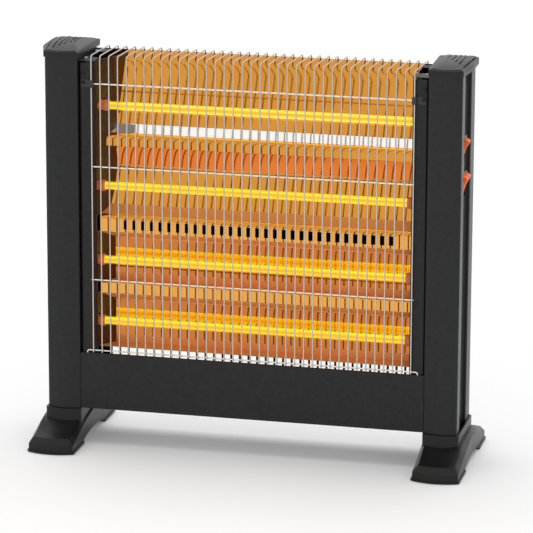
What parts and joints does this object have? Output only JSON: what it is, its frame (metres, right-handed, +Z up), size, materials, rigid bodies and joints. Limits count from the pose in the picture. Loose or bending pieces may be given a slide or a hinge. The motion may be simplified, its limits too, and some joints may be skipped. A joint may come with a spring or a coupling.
{
  "type": "quartz tube heater",
  "caption": "Free-standing electric radiant heater: glowing quartz tubes before a folded amber reflector, a wire guard, two charcoal columns on feet and rocker switches in the right side.",
  "frame": {"origin": "on the floor under the middle of the heater, at the bottom centre of its bounding box", "axes": "+X to the heater's right as seen from the front, where the switches are, +Y to its back, +Z up"},
  "size_m": [0.5254, 0.1976, 0.4835],
  "materials": {
    "housing_plastic": "matte charcoal, fine grain",
    "painted_steel": "satin charcoal paint",
    "screw_steel": "blackened",
    "pad_rubber": "black rubber",
    "bush_plastic": "black",
    "polished_amber": "polished, amber anodised",
    "polished_dark": "polished, dark",
    "quartz": "clear quartz, glowing yellow",
    "heating_wire": "glowing resistance wire",
    "ceramic": "unglazed",
    "terminal_brass": "bare",
    "plated_wire": "bright plated",
    "switch_black": "black",
    "rocker_orange": "translucent orange",
    "case_plastic": "off-white",
    "weight_steel": "turned",
    "cutout_aluminium": "bare",
    "loom_sleeve": "heat-proof sleeve"
  },
  "bodies": {
    "heater": {"left_column": "housing_plastic", "right_column": "housing_plastic", "left_cap": "housing_plastic", "right_cap": "housing_plastic", "left_foot": "housing_plastic", "right_foot": "housing_plastic", "front_panel": "painted_steel", "bottom_tray": "painted_steel", "back_cover": "painted_steel", "left_side_frame": "painted_steel", "right_side_frame": "painted_steel", "left_top_bracket": "painted_steel", "right_top_bracket": "painted_steel", "guard_clips": "painted_steel", "foot_screws": "screw_steel", "panel_screws": "screw_steel", "back_cover_screws": "screw_steel", "side_frame_screws": "screw_steel", "top_bracket_screws": "screw_steel", "guard_clip_screws": "screw_steel", "tip_over_screws": "screw_steel", "foot_pads": "pad_rubber", "cord_bush": "bush_plastic", "reflector": "polished_amber", "left_side_plate": "polished_dark", "right_side_plate": "polished_dark", "quartz_tube_1": "quartz", "quartz_tube_2": "quartz", "quartz_tube_3": "quartz", "quartz_tube_4": "quartz", "heating_coil_1": "heating_wire", "heating_coil_2": "heating_wire", "heating_coil_3": "heating_wire", "heating_coil_4": "heating_wire", "left_tube_ends": "ceramic", "right_tube_ends": "ceramic", "left_tube_terminals": "terminal_brass", "right_tube_terminals": "terminal_brass", "switch_blades": "terminal_brass", "guard_uprights": "plated_wire", "guard_crosswires": "plated_wire", "upper_switch_housing": "switch_black", "lower_switch_housing": "switch_black", "tip_over_case": "case_plastic", "terminal_block": "case_plastic", "thermal_cutout": "cutout_aluminium", "left_wiring_loom": "loom_sleeve", "right_wiring_loom": "loom_sleeve"},
    "upper_rocker": {"upper_rocker": "rocker_orange"},
    "lower_front_rocker": {"lower_front_rocker": "rocker_orange"},
    "lower_rear_rocker": {"lower_rear_rocker": "rocker_orange"},
    "tip_over_weight": {"tip_over_weight": "weight_steel"}
  },
  "joints": [
    {"name": "upper_rocker_tilt", "type": "hinge", "parent": "heater", "child": "upper_rocker", "pos_m": [0.2435, -0.0035, 0.38], "axis": [0, -1, 0], "range_deg": [0, 24]},
    {"name": "lower_front_rocker_tilt", "type": "hinge", "parent": "heater", "child": "lower_front_rocker", "pos_m": [0.2435, -0.00985, 0.337], "axis": [0, -1, 0], "range_deg": [0, 24]},
    {"name": "lower_rear_rocker_tilt", "type": "hinge", "parent": "heater", "child": "lower_rear_rocker", "pos_m": [0.2435, 0.00285, 0.337], "axis": [0, -1, 0], "range_deg": [0, 24]},
    {"name": "tip_over_swing", "type": "hinge", "parent": "heater", "child": "tip_over_weight", "pos_m": [0.225, 0, 0.113], "axis": [0, 1, 0], "range_deg": [-12, 12]}
  ]
}
